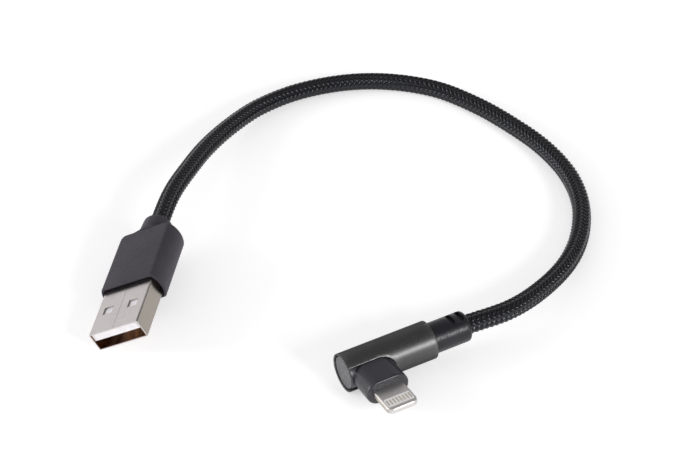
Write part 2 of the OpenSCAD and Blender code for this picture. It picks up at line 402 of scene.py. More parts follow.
def bump(sheet: NodeSheet, shader: Node, height: Socket, depth: float, strength: float = 1.0) -> None:
    """Feeds a height through a Bump node to a shader's normal.

    Args:
        sheet: The material's sheet.
        shader: The shader that is bumped.
        height: The height's socket.
        depth: The depth of a height of 1, in metres.
        strength: The bump's strength.
    """
    made = sheet.add("ShaderNodeBump")
    made.inputs["Strength"].default_value = strength
    made.inputs["Distance"].default_value = depth
    sheet.feed(made.inputs["Height"], height)
    sheet.feed(shader.inputs["Normal"], made.outputs["Normal"])


@dataclass(frozen=True)
class MouldedPlastic(Finish):
    """Matt moulded plastic with grain, a little dust and rubbed edges."""

    name: str
    colour: Colour
    rub_colour: Colour
    roughness: float
    grain_scale: float
    grain_depth: float
    rub: float
    dust: float
    specular: float
    glare: float
    dust_colour: Colour = (0.5, 0.49, 0.47)
    rub_polish: float = 0.12

    def dress(self, sheet: NodeSheet, shader: Node, place: Socket) -> None:
        """Joins grain, dust and rub to the shader; see Finish.dress for the Args."""
        grain = EFFECTS.place(sheet, Effect.GRAIN, Vector=place, Scale=self.grain_scale, Contrast=1.0)
        dust = EFFECTS.place(sheet, Effect.DUST, Vector=place, Amount=self.dust).outputs["Mask"]
        rub = EFFECTS.place(sheet, Effect.RUB, Vector=place, Amount=self.rub).outputs["Mask"]
        drift = sheet.mottle(place, scale=180.0, detail=3.0)
        base = sheet.blend(drift, self.colour, toned(self.colour, 1.25, 0.002))
        rubbed = sheet.blend(rub, base, self.rub_colour)
        sheet.feed(shader.inputs["Base Color"], sheet.blend(dust, rubbed, self.dust_colour))
        uneven = sheet.spread(grain.outputs["Mask"], 0.0, 1.0, self.roughness - 0.06, self.roughness + 0.08)
        polished = sheet.maths("SUBTRACT", uneven, sheet.maths("MULTIPLY", rub, self.rub_polish))
        sheet.feed(shader.inputs["Roughness"], polished)
        shader.inputs["Specular IOR Level"].default_value = self.specular
        shader.inputs["Specular Tint"].default_value = opaque((self.glare,) * 3)
        bump(sheet, shader, grain.outputs["Height"], self.grain_depth)


@dataclass(frozen=True)
class PlatedMetal(Finish):
    """Plated sheet metal: slightly wavy, with hairlines from being plugged in, and painted shade on its
    side walls and, where set, inside its mouth.
    """

    name: str
    colour: Colour
    stain: Colour
    roughness: float
    scratch: float
    # side: how far the painted shade darkens the side walls, which face away from the light
    side: float
    # The half width and half height of the box inside which the shell's inner walls get painted shade and a
    # painted gold reflection, and that painted colour
    mouth_shade_box: tuple[float, float] = (0.0, 0.0)
    mouth_shade_colour: Colour = (0.26, 0.14, 0.085)
    wave: float = 0.004 * MM
    scratch_depth: float = 0.0006 * MM

    def dress(self, sheet: NodeSheet, shader: Node, place: Socket) -> None:
        """Joins scratches, waviness and a faint stain to the shader; see Finish.dress for the Args."""
        scratch = EFFECTS.place(sheet, Effect.SCRATCH, Vector=place, Density=self.scratch)
        rub = EFFECTS.place(sheet, Effect.RUB, Vector=place, Amount=0.5)
        base = sheet.blend(sheet.mottle(place, scale=240.0, detail=4.0, low=0.35), self.colour, self.stain)
        bright = sheet.blend(rub.outputs["Mask"], base, toned(self.colour, 1.12))
        sheet.feed(shader.inputs["Base Color"], self.paint_shade(sheet, bright, place))
        shader.inputs["Metallic"].default_value = 1.0
        roughen(sheet, shader, scratch.outputs["Mask"], self.roughness, self.roughness + 0.3)
        swell = sheet.maths("MULTIPLY", sheet.noise(place, 420.0, 2.0), self.wave / self.scratch_depth)
        bump(sheet, shader, sheet.maths("ADD", swell, scratch.outputs["Height"]), self.scratch_depth)

    def paint_shade(self, sheet: NodeSheet, tone: Socket, place: Socket) -> Socket:
        """Paints shade on the side walls and, when the finish has one, a brown painted shade and gold
        reflection inside the mouth.

        Args:
            sheet: The material's sheet.
            tone: The plating's colour.
            place: Coordinates fixed to the piece, in metres.

        Returns:
            The colour's socket.
        """
        # Painted shade: faces whose normal points along X, the side walls, are darkened for the light that
        # they don't get.
        facing = sheet.split(sheet.add("ShaderNodeTexCoord").outputs["Normal"])
        wall = sheet.spread(sheet.maths("ABSOLUTE", facing["X"]), 0.6, 0.95)
        side_shade_colour = tuple(c * self.side * warm for c, warm in zip(self.stain, (1.0, 0.97, 0.9)))
        tone = sheet.blend(wall, tone, side_shade_colour)
        if not self.mouth_shade_box[0]:
            return tone
        # Painted shade and reflection: inside the box the colour turns brown, standing in for the mouth's
        # shadow and the gold contacts' reflection.
        at = sheet.split(place)
        inner = [
            sheet.maths("LESS_THAN", sheet.maths("ABSOLUTE", at[axis]), limit)
            for axis, limit in zip("XZ", self.mouth_shade_box)
        ]
        return sheet.blend(sheet.maths("MULTIPLY", *inner), tone, self.mouth_shade_colour)


@dataclass(frozen=True)
class AnodisedMetal(Finish):
    """Fine blasted aluminium under a dark anodised layer, brighter where the edges are cut."""

    name: str
    colour: Colour
    cut_colour: Colour
    roughness: float
    glare: float = 0.35
    grain_depth: float = 0.0026 * MM

    def dress(self, sheet: NodeSheet, shader: Node, place: Socket) -> None:
        """Joins the blasted grain and the cut edges to the shader; see Finish.dress for the Args."""
        grain = EFFECTS.place(sheet, Effect.GRAIN, Vector=place, Scale=4200.0, Contrast=1.0)
        rub = EFFECTS.place(sheet, Effect.RUB, Vector=place, Amount=0.9)
        drift = sheet.mottle(place, scale=150.0, detail=3.0)
        base = sheet.blend(drift, self.colour, toned(self.colour, 1.18))
        speckled = sheet.blend(sheet.maths("MULTIPLY", grain.outputs["Mask"], 0.12), base, self.cut_colour)
        sheet.feed(shader.inputs["Base Color"], sheet.blend(rub.outputs["Mask"], speckled, self.cut_colour))
        shader.inputs["Metallic"].default_value = 0.9
        shader.inputs["Specular Tint"].default_value = opaque((self.glare,) * 3)
        roughen(sheet, shader, grain.outputs["Mask"], self.roughness, self.roughness + 0.08)
        bump(sheet, shader, grain.outputs["Height"], self.grain_depth)


@dataclass(frozen=True)
class BraidedYarn(Finish):
    """Glossy filament yarn: hairlines along each carrier, with slight changes from yarn to yarn."""

    name: str
    colour: Colour
    sheen_colour: Colour
    roughness: float
    filaments: float = 46.0
    specular: float = 0.45
    glare: Colour = (0.82, 0.84, 0.9)
    dust_colour: Colour = (0.25, 0.25, 0.26)

    def dress(self, sheet: NodeSheet, shader: Node, place: Socket) -> None:
        """Joins the filament lines to the shader; see Finish.dress for the Args."""
        flat = sheet.add("ShaderNodeUVMap", uv_map="yarn").outputs["UV"]
        lines = sheet.noise(sheet.stretch(flat, (3.0, self.filaments, 1.0)), 1.0, 2.0)
        tufts = sheet.noise(sheet.stretch(flat, (0.9, 6.0, 1.0)), 1.0, 2.0)
        tone = sheet.maths("MULTIPLY", sheet.spread(lines, 0.35, 0.68), sheet.spread(tufts, 0.3, 0.7, 0.3))
        base = sheet.blend(tone, self.colour, toned(self.colour, 1.8, 0.002))
        dust = EFFECTS.place(sheet, Effect.DUST, Vector=place, Amount=0.12)
        sheet.feed(shader.inputs["Base Color"], sheet.blend(dust.outputs["Mask"], base, self.dust_colour))
        gloss = sheet.spread(tufts, 0.3, 0.7, self.roughness - 0.04, self.roughness + 0.12)
        sheet.feed(shader.inputs["Roughness"], gloss)
        shader.inputs["Specular IOR Level"].default_value = self.specular
        shader.inputs["Specular Tint"].default_value = opaque(self.glare)
        shader.inputs["Sheen Weight"].default_value = 0.01
        shader.inputs["Sheen Roughness"].default_value = 0.4
        shader.inputs["Sheen Tint"].default_value = opaque(self.sheen_colour)
        bump(sheet, shader, lines, 0.005 * MM, 0.6)


@dataclass(frozen=True)
class PlainCoat(Finish):
    """A finish for small and hidden pieces: faint mottling, with its own roughness and metal."""

    name: str
    colour: Colour
    roughness: float
    metallic: float = 0.0

    def dress(self, sheet: NodeSheet, shader: Node, place: Socket) -> None:
        """Joins the mottling and a light grain to the shader; see Finish.dress for the Args."""
        grain = EFFECTS.place(sheet, Effect.GRAIN, Vector=place, Scale=5000.0, Contrast=1.0)
        drift = sheet.mottle(place, scale=600.0, detail=3.0)
        sheet.feed(shader.inputs["Base Color"], sheet.blend(drift, self.colour, toned(self.colour, 0.86)))
        shader.inputs["Metallic"].default_value = self.metallic
        roughen(sheet, shader, grain.outputs["Mask"], self.roughness - 0.04, self.roughness + 0.06)
        bump(sheet, shader, grain.outputs["Height"], 0.003 * MM)


@dataclass(frozen=True)
class FloorCard(Finish):
    """Plain white card that glows faintly, as an overlit table does."""

    name: str
    colour: Colour
    glow: float

    def dress(self, sheet: NodeSheet, shader: Node, place: Socket) -> None:
        """Joins a barely uneven tone to the shader; see Finish.dress for the Args."""
        drift = sheet.mottle(place, scale=3.0, detail=2.0)
        sheet.feed(shader.inputs["Base Color"], sheet.blend(drift, self.colour, toned(self.colour, 1.01)))
        shader.inputs["Roughness"].default_value = 0.9
        shader.inputs["Specular IOR Level"].default_value = 0.1
        shader.inputs["Emission Color"].default_value = (1.0, 1.0, 1.0, 1.0)
        shader.inputs["Emission Strength"].default_value = self.glow


GRIP_FINISH = MouldedPlastic(
    "soft_touch_black", (0.04, 0.036, 0.046), (0.085, 0.08, 0.09), roughness=0.55, grain_scale=4200.0,
    grain_depth=0.003 * MM, rub=0.4, dust=0.3, specular=0.4, glare=0.35,
)
HOUSING_FINISH = MouldedPlastic(
    "housing_black", (0.011, 0.0105, 0.0165), (0.12, 0.12, 0.13), roughness=0.36, grain_scale=3200.0,
    grain_depth=0.007 * MM, rub=0.6, dust=0.2, specular=0.7, glare=0.8,
)
RELIEF_FINISH = MouldedPlastic(
    "relief_black", (0.009, 0.009, 0.013), (0.06, 0.06, 0.062), roughness=0.38, grain_scale=2600.0,
    grain_depth=0.02 * MM, rub=0.4, dust=0.25, specular=0.45, glare=0.85,
)
# The shell's side value paints shade on its side walls.
SHELL_FINISH = PlatedMetal(
    "nickel_shell", (0.57, 0.54, 0.53), (0.53, 0.5, 0.48), roughness=0.25, scratch=0.06, side=0.7,
    # The box inside the mouth that gets painted shade and a painted gold reflection.
    mouth_shade_box=(5.72 * MM, 1.97 * MM),
)
# The tab's side value paints shade on its side edges.
TAB_FINISH = PlatedMetal(
    "nickel_tab", (0.7, 0.68, 0.665), (0.65, 0.63, 0.61), roughness=0.42, scratch=0.1, side=0.75
)
BARREL_FINISH = AnodisedMetal("anodised_barrel", (0.082, 0.082, 0.082), (0.3, 0.3, 0.295), 0.36)
BRAID_FINISH = BraidedYarn("black_braid", (0.0035, 0.0035, 0.0048), (0.5, 0.5, 0.52), 0.2)
WHITE_FINISH = PlainCoat("white_insulator", (0.92, 0.89, 0.91), 0.42)
GOLD_FINISH = PlainCoat("gold_contacts", (0.72, 0.56, 0.28), 0.26, 1.0)
FIELD_FINISH = PlainCoat("white_field", (0.95, 0.945, 0.94), 0.3)
PAD_FINISH = PlainCoat("pad_plating", (0.68, 0.63, 0.53), 0.45, 0.3)
SOLDER_FINISH = PlainCoat("solder", (0.6, 0.6, 0.62), 0.28, 1.0)
CRIMP_FINISH = PlainCoat("crimp_metal", (0.55, 0.54, 0.5), 0.35, 1.0)


# Mesh building


@dataclass
class Shape:
    """Vertices in metres and faces, gathered before they become a Blender mesh."""

    points: list[Vector] = field(default_factory=list)
    faces: list[tuple[int, ...]] = field(default_factory=list)

    def ring(self, points: Iterable[Sequence[float]]) -> list[int]:
        """Adds a loop of points.

        Args:
            points: The loop's points, in metres.

        Returns:
            The new points' numbers.
        """
        first = len(self.points)
        self.points.extend(Vector(p) for p in points)
        return list(range(first, len(self.points)))

    def skin(self, a: Sequence[int], b: Sequence[int], closed: bool = True) -> None:
        """Joins two loops of equal length with quads.

        Args:
            a: The first loop.
            b: The next loop, further along.
            closed: Whether the loops' ends are joined too.
        """
        count = len(a)
        for i in range(count if closed else count - 1):
            j = (i + 1) % count
            self.faces.append((a[i], a[j], b[j], b[i]))

    def skins(self, loops: Sequence[Sequence[int]], closed: bool = True) -> None:
        """Joins each loop to the next with quads."""
        for a, b in zip(loops, loops[1:]):
            self.skin(a, b, closed)

    def loft(self, loops: Sequence[Sequence[Sequence[float]]]) -> "Shape":
        """Adds loops and joins each to the next, with a face at both ends.

        Args:
            loops: The loops' points, in order.

        Returns:
            The shape itself.
        """
        made = [self.ring(loop) for loop in loops]
        self.skins(made)
        self.faces += [tuple(reversed(made[0])), tuple(made[-1])]
        return self


class Cut(Enum):
    """What a carving shape does to a piece."""

    TAKE_OUT = "DIFFERENCE"
    JOIN_ON = "UNION"


class Builder:
    """Turns shapes into dressed pieces that ride on the cable's body."""

    @staticmethod
    def mesh(name: str, shape: Shape, merge: float = 1e-8) -> bpy.types.Mesh:
        """Makes a mesh with its faces turned outwards.

        Args:
            name: The mesh's name.
            shape: Its points and faces.
            merge: Points nearer than this become one, in metres.

        Returns:
            The mesh.
        """
        made = bpy.data.meshes.new(name)
        made.from_pydata([tuple(p) for p in shape.points], [], shape.faces)
        work = bmesh.new()
        work.from_mesh(made)
        bmesh.ops.remove_doubles(work, verts=work.verts, dist=merge)
        bmesh.ops.recalc_face_normals(work, faces=work.faces)
        work.to_mesh(made)
        work.free()
        return made

    @staticmethod
    def piece(
        name: str,
        form: Shape | bpy.types.Mesh,
        place: Matrix,
        finish: Finish,
        slot: str,
        node: str,
        sharp: float = 35.0,
    ) -> bpy.types.Object:
        """Makes a dressed object that rides on the body.

        Args:
            name: The piece's name.
            form: Its shape or its finished mesh, in its own frame.
            place: Where its frame lies in the model's frame.
            finish: What it is dressed with.
            slot: The record's material slot; not used.
            node: The CAD node that it replaces.
            sharp: Edges that turn more than this, in degrees, stay sharp.

        Returns:
            The object.
        """
        mesh = Builder.mesh(name, form) if isinstance(form, Shape) else form
        made = bpy.data.objects.new(name, mesh)
        bpy.context.scene.collection.objects.link(made)
        made.matrix_world = place
        mesh.materials.append(finish.material())
        mesh.shade_smooth()
        mesh.set_sharp_from_angle(angle=math.radians(sharp))
        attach(made, BODY)
        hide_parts(node)
        log.info("%s: %d faces, %s", name, len(mesh.polygons), finish.label())
        return made

    @staticmethod
    def round_edges(piece: bpy.types.Object, width: float, segments: int, angle: float) -> None:
        """Adds a modifier that rounds a piece's sharp edges.

        Args:
            piece: The piece.
            width: The rounding's width, in metres.
            segments: How many faces cross the rounding.
            angle: Edges that turn more than this are rounded, in degrees.
        """
        rounding = piece.modifiers.new("edge", "BEVEL")
        rounding.width = width
        rounding.segments = segments
        rounding.limit_method = "ANGLE"
        rounding.angle_limit = math.radians(angle)

    @staticmethod
    def soften(piece: bpy.types.Object, width: float, segments: int = 2, angle: float = 50.0) -> None:
        """Rounds a piece's sharp edges and bakes the result.

        Args:
            piece: The piece.
            width: The rounding's width, in metres.
            segments: How many faces cross the rounding.
            angle: Edges that turn more than this are rounded, in degrees.
        """
        Builder.round_edges(piece, width, segments, angle)
        Builder.apply(piece)
        piece.data.shade_smooth()
        piece.data.set_sharp_from_angle(angle=math.radians(30))

    @staticmethod
    def true_normals(piece: bpy.types.Object) -> None:
        """Keeps a piece's broad faces flat where they run into small rounded ones.

        Args:
            piece: The piece.
        """
        keep = piece.modifiers.new("normals", "WEIGHTED_NORMAL")
        keep.keep_sharp = True
        keep.weight = 100
        Builder.apply(piece)

    @staticmethod
    def apply(piece: bpy.types.Object) -> None:
        """Bakes a piece's modifiers into its mesh.

        Args:
            piece: The piece.
        """
        graph = bpy.context.evaluated_depsgraph_get()
        graph.update()
        old = piece.data
        made = bpy.data.meshes.new_from_object(piece.evaluated_get(graph))
        made.name = old.name + "_done"
        piece.modifiers.clear()
        piece.data = made
        bpy.data.meshes.remove(old)

    @staticmethod
    def carve(piece: bpy.types.Object, tool: Shape, cut: Cut = Cut.TAKE_OUT) -> None:
        """Cuts a shape out of a piece, or joins it on.

        Args:
            piece: The piece.
            tool: The cutting shape, in the piece's own frame.
            cut: What the shape does.
        """
        cutter = bpy.data.objects.new("cutter", Builder.mesh("cutter", tool))
        bpy.context.scene.collection.objects.link(cutter)
        cutter.matrix_world = piece.matrix_world
        carving = piece.modifiers.new("cut", "BOOLEAN")
        carving.operation = cut.value
        carving.solver = "EXACT"
        carving.object = cutter
        bpy.context.view_layer.update()
        Builder.apply(piece)
        bpy.data.objects.remove(cutter)


def shares(count: int, first: int = 0) -> list[float]:
    """Returns even shares of one, from first / count up to 1."""
    return [i / count for i in range(first, count + 1)]


def quarter_turn(count: int, first: int = 1) -> Outline:
    """Returns the sine and cosine of even steps of a quarter turn."""
    return [(math.sin(t * math.pi / 2), math.cos(t * math.pi / 2)) for t in shares(count, first)]


def arc(centre: tuple[float, float], radius: float, start: float, end: float, steps: int) -> Outline:
    """Points along an arc.

    Args:
        centre: The arc's centre.
        radius: Its radius.
        start: The first point's angle, in degrees.
        end: The last point's angle.
        steps: How many stretches the arc has.

    Returns:
        The points, both ends included.
    """
    turns = [math.radians(start + (end - start) * t) for t in shares(steps)]
    return [(centre[0] + radius * math.cos(a), centre[1] + radius * math.sin(a)) for a in turns]


def circle(radius: float, sides: int) -> Outline:
    """Returns the points of a circle about the origin."""
    return arc((0, 0), radius, 0, 360 - 360 / sides, sides - 1)


def rounded_rect(width: float, height: float, radius: float, steps: int) -> Outline:
    """A rectangle with round corners, anticlockwise from the middle of its right side.

    Args:
        width: Its width.
        height: Its height.
        radius: The corners' radius.
        steps: How many stretches each corner has.

    Returns:
        The outline's points.
    """
    x, y = width / 2 - radius, height / 2 - radius
    points: Outline = []
    for cx, cy, start in ((x, y, 0), (-x, y, 90), (-x, -y, 180), (x, -y, 270)):
        points += arc((cx, cy), radius, start, start + 90, steps)
    return points


def stadium(width: float, height: float, centre: float, steps: int) -> Outline:
    """A flat bar with half-round ends.

    Args:
        width: Its width.
        height: Its height, which is twice its ends' radius.
        centre: Where its middle lies across.
        steps: How many stretches each end has.

    Returns:
        The outline's points.
    """
    reach = (width - height) / 2
    right = arc((centre + reach, 0), height / 2, -90, 90, steps)
    return right + arc((centre - reach, 0), height / 2, 90, 270, steps)


def at_y(outline: Outline, y: float) -> Loop:
    """Stands an outline of x and z at y."""
    return [(x, y, z) for x, z in outline]


def placed(at: Sequence[float], turn: Sequence[float], order: str) -> Matrix:
    """The matrix of a plug's frame.

    Args:
        at: Its origin, in millimetres.
        turn: Its turns about X, Y and Z, in degrees.
        order: The axes in the order that the turns are made.

    Returns:
        The matrix, in metres.
    """
    made = Matrix.Identity(4)
    for axis in order:
        made = Matrix.Rotation(math.radians(turn["XYZ".index(axis)]), 4, axis) @ made
    return Matrix.Translation(Vector(at) * MM) @ made


# Where things lie, as in the CAD source

USB_FRAME = placed((-33.05, -6.2, 5.2), (2.3, -28.2, -9.3), "YXZ")
TAB_FRAME = placed((12.7, -16.4, 4.1), (-4.7, -3.0, 27.4), "XYZ")


@dataclass
class Layout:
    """The plugs' stations that the cord needs, in metres along each plug's own axis."""

    grip_front: float = 13.0 * MM
    grip_back: float = 30.7 * MM
    neck_back: float = 35.6 * MM
    barrel_back: float = 19.8 * MM
    relief_back: float = 28.4 * MM

    def in_usb(self, y: float) -> Vector:
        """Returns the point of the USB plug's axis at y, in the model's frame."""
        return USB_FRAME @ Vector((0, y, 0))

    def in_tab(self, x: float) -> Vector:
        """Returns the point of the barrel's axis at x, in the model's frame."""
        return TAB_FRAME @ Vector((x, 0, 0))


LAYOUT = Layout()


# The cord


class Hand(Enum):
    """Which way a carrier winds round the cord."""

    RIGHT = 1
    LEFT = -1


@dataclass
class Route:
    """The cord's centre line, through the same points as the CAD cord."""

    lying: Sequence[tuple[float, float, float]] = (
        (-0.0252, 0.0396, 0.007), (-0.0221, 0.0501, 0.0062), (-0.0186, 0.0606, 0.0048),
        (-0.0135, 0.07105, 0.0035), (-0.0071, 0.0801, 0.0026), (0.0019, 0.0871, 0.0022),
        (0.0129, 0.09105, 0.0021), (0.0239, 0.0914, 0.0021), (0.035, 0.0882, 0.0021),
        (0.0443, 0.0815, 0.0021), (0.0519, 0.0736, 0.0021), (0.059, 0.0642, 0.0021),
        (0.0639, 0.0536, 0.0021), (0.06575, 0.0426, 0.0021), (0.06455, 0.0311, 0.0022),
        (0.0609, 0.0206, 0.0027), (0.0548, 0.0107, 0.0037), (0.0475, 0.0024, 0.005),
    )
    usb_end: float = 27.0 * MM
    tab_end: float = 21.0 * MM
    tucked: float = 2.4 * MM

    def knots(self) -> list[Vector]:
        """Returns the points that the centre line passes, from plug to plug.

        Returns:
            The points, in metres.
        """
        start = [LAYOUT.in_usb(self.usb_end), LAYOUT.in_usb(LAYOUT.neck_back)]
        end = [LAYOUT.in_tab(LAYOUT.relief_back), LAYOUT.in_tab(self.tab_end)]
        return start + [Vector(p) for p in self.lying] + end

    def dense(self, steps: int = 60) -> list[Vector]:
        """Samples the spline through the knots.

        Args:
            steps: How many samples each stretch has.

        Returns:
            The samples, in order.
        """
        p = self.knots()
        line: list[Vector] = []
        for i in range(len(p) - 1):
            a, b, c, d = p[max(0, i - 1)], p[i], p[i + 1], p[min(len(p) - 1, i + 2)]
            for t in shares(steps)[:-1]:
                square, cube = 2 * a - 5 * b + 4 * c - d, 3 * b - a - 3 * c + d
                line.append(0.5 * (2 * b + (c - a) * t + square * t * t + cube * t**3))
        line.append(p[-1])
        return line

    def even(self, gap: float, tuck: float) -> list[Vector]:
        """Samples the centre line at even distances.

        Args:
            gap: The distance between samples.
            tuck: How far the line runs into each plug.

        Returns:
            The samples, from inside the USB plug's neck to inside the strain relief.
        """
        line = self.dense()
        run = [0.0]
        for a, b in zip(line, line[1:]):
            run.append(run[-1] + (b - a).length)
        first = (LAYOUT.neck_back - self.usb_end) - tuck
        last = run[-1] - ((LAYOUT.relief_back - self.tab_end) - tuck)
        count = max(2, round((last - first) / gap))
        made, k = [], 0
        for t in shares(count):
            want = first + (last - first) * t
            while k < len(run) - 2 and run[k + 1] < want:
                k += 1
            made.append(line[k].lerp(line[k + 1], (want - run[k]) / max(1e-12, run[k + 1] - run[k])))
        return made


def frames(line: Sequence[Vector]) -> list[tuple[Vector, Vector, Vector]]:
    """The centre, side and up vectors at each point of a nearly level line.

    Args:
        line: The line's points.

    Returns:
        Point, side and up, for each point.
    """
    made = []
    for i, point in enumerate(line):
        ahead = (line[min(len(line) - 1, i + 1)] - line[max(0, i - 1)]).normalized()
        side = ahead.cross(Vector((0, 0, 1))).normalized()
        made.append((point, side, side.cross(ahead)))
    return made


@dataclass
class Braid:
    """Two hands of eight carriers, each over two and under two, round the jacket."""

    route: Route
    outer: float = 2.165 * MM
    across: float = 4.2 * MM
    carriers: int = 8
    lay: float = 9.6 * MM
    width: float = 0.9 * MM
    thickness: float = 0.36 * MM
    lift: float = 0.22 * MM
    unevenness: float = 0.02 * MM
    yarns: int = 3
    crown: float = 1.2
    groove: float = 0.3
    base_half: float = 0.36
    flatness: float = 0.5
    step: float = 0.335 * MM
    stray: float = 0.04
    seed: int = 7

    @property
    def middle(self) -> float:
        """Returns the radius that the carriers weave about."""
        return self.outer - self.lift - self.thickness / 2

    def profile(self) -> Outline:
        """Returns the carrier's section: across from -0.5 to 0.5, and height from -1 to 1.

        Returns:
            The section's points.
        """
        top = []
        for i, share in enumerate(shares(2 * self.yarns)):
            across = share - 0.5
            top.append((across, 1.0 - self.crown * (2 * across) ** 2 - (0.0 if i % 2 else self.groove)))
        return top + [(self.base_half, -1.0), (-self.base_half, -1.0)]

    def build(self) -> bpy.types.Object:
        """Returns:
            The braid.
        """
        line = self.route.even(self.step, self.route.tucked)
        axes = frames(line)
        shape, tags = Shape(), []
        wobble = random.Random(self.seed)
        for hand in Hand:
            for number in range(self.carriers):
                shift = wobble.uniform(-self.stray, self.stray)
                self.carrier(shape, tags, axes, hand, number + shift, wobble.uniform(0, 50))
        mesh = bpy.data.meshes.new("braid")
        mesh.from_pydata([tuple(p) for p in shape.points], [], shape.faces)
        self.lay_yarn_map(mesh, tags)
        here = Matrix.Identity(4)
        piece = Builder.piece("braid", mesh, here, BRAID_FINISH, "black_braid", "braid_sleeve", sharp=70)
        return piece

    def carrier(
        self,
        shape: Shape,
        tags: Outline,
        axes: Sequence[tuple[Vector, Vector, Vector]],
        hand: Hand,
        number: float,
        tag: float,
    ) -> None:
        """Adds one carrier, a flat ribbon of yarns that winds along the cord.

        Args:
            shape: Where its points and faces go.
            tags: Where each point's place on the yarn goes.
            axes: The cord's centre, side and up at each station.
            hand: Which way it winds.
            number: Which of its hand's carriers it is.
            tag: A number that tells its yarn from the others.
        """
        last = len(axes) - 1
        length = self.step * last
        slope = math.atan2(2 * math.pi * self.middle, self.lay)
        profile, loops = self.profile(), []
        for i in range(last + 1):
            along = length * i / last
            angle = 2 * math.pi * (number / self.carriers + hand.value * along / self.lay)
            loop = []
            for across, high in profile:
                q = across * self.width
                turn = angle + q * math.cos(slope) / self.middle
                weave = hand.value * math.cos(4 * turn - math.pi / 4)
                over = self.lift * math.tanh(self.flatness * weave) / math.tanh(self.flatness)
                radius = self.middle + over + high * self.thickness / 2
                lane = Vector((along / MM, number * 3.1, hand.value * 5.0))
                radius += self.unevenness * noise.noise(lane)
                slide = -hand.value * q * math.sin(slope)
                place = max(0.0, min(last - 1e-6, (along + slide) / length * last))
                k = int(place)
                centre, side, up = (a.lerp(b, place - k) for a, b in zip(axes[k], axes[k + 1]))
                loop.append(centre + radius * (math.cos(turn) * side + math.sin(turn) * up))
                tags.append((along / MM, tag + across))
            loops.append(loop)
        shape.loft(loops)

    @staticmethod
    def lay_yarn_map(mesh: bpy.types.Mesh, tags: Outline) -> None:
        """Gives each corner its place on the yarn, for the filament lines.

        Args:
            mesh: The braid's mesh.
            tags: Each point's distance along and across.
        """
        layer = mesh.uv_layers.new(name="yarn")
        corners = [0] * len(mesh.loops)
        mesh.loops.foreach_get("vertex_index", corners)
        layer.data.foreach_set("uv", [value for v in corners for value in tags[v]])


@dataclass
class CordCore:
    """The jacket and the foil under the braid, as smooth tubes; the conductors keep their CAD solids."""

    route: Route
    sides: int = 20
    step: float = 1.5 * MM
    tuck: float = 6.5 * MM
    jacket: tuple[float, float] = (1.45 * MM, 1.2 * MM)
    foil: tuple[float, float] = (1.15 * MM, 1.05 * MM)

    def build(self) -> None:
        """Makes the jacket and the foil, and dresses the four conductors."""
        rubber = PlainCoat("cord_jacket", (0.05, 0.05, 0.05), 0.6)
        metal = PlainCoat("foil_shield", (0.75, 0.76, 0.78), 0.3, 1.0)
        self.tube("jacket_tube", self.jacket, rubber, "cord_jacket", "cord_jacket")
        self.tube("foil_tube", self.foil, metal, "foil_shield", "cord_shield")
        for node, colour in (
            ("wire_power", (0.5, 0.03, 0.02)),
            ("wire_data_minus", (0.75, 0.75, 0.72)),
            ("wire_data_plus", (0.03, 0.3, 0.08)),
            ("wire_ground", (0.03, 0.03, 0.03)),
        ):
            dress_node(node, PlainCoat(node, colour, 0.45))

    def tube(self, name: str, radii: tuple[float, float], finish: Finish, slot: str, node: str) -> None:
        """Makes one hollow tube along the cord.

        Args:
            name: The piece's name.
            radii: Its outer and inner radius.
            finish: What it is dressed with.
            slot: The record's material slot.
            node: The CAD node that it replaces.
        """
        shape = Shape()
        axes = frames(self.route.even(self.step, self.tuck))
        walls = []
        for radius in radii:
            section = circle(radius, self.sides)
            wall = [shape.ring(at + a * side + b * up for a, b in section) for at, side, up in axes]
            shape.skins(wall)
            walls.append(wall)
        for end in (0, -1):
            shape.skin(walls[0][end], walls[1][end])
        Builder.piece(name, shape, Matrix.Identity(4), finish, slot, node)


# The USB plug


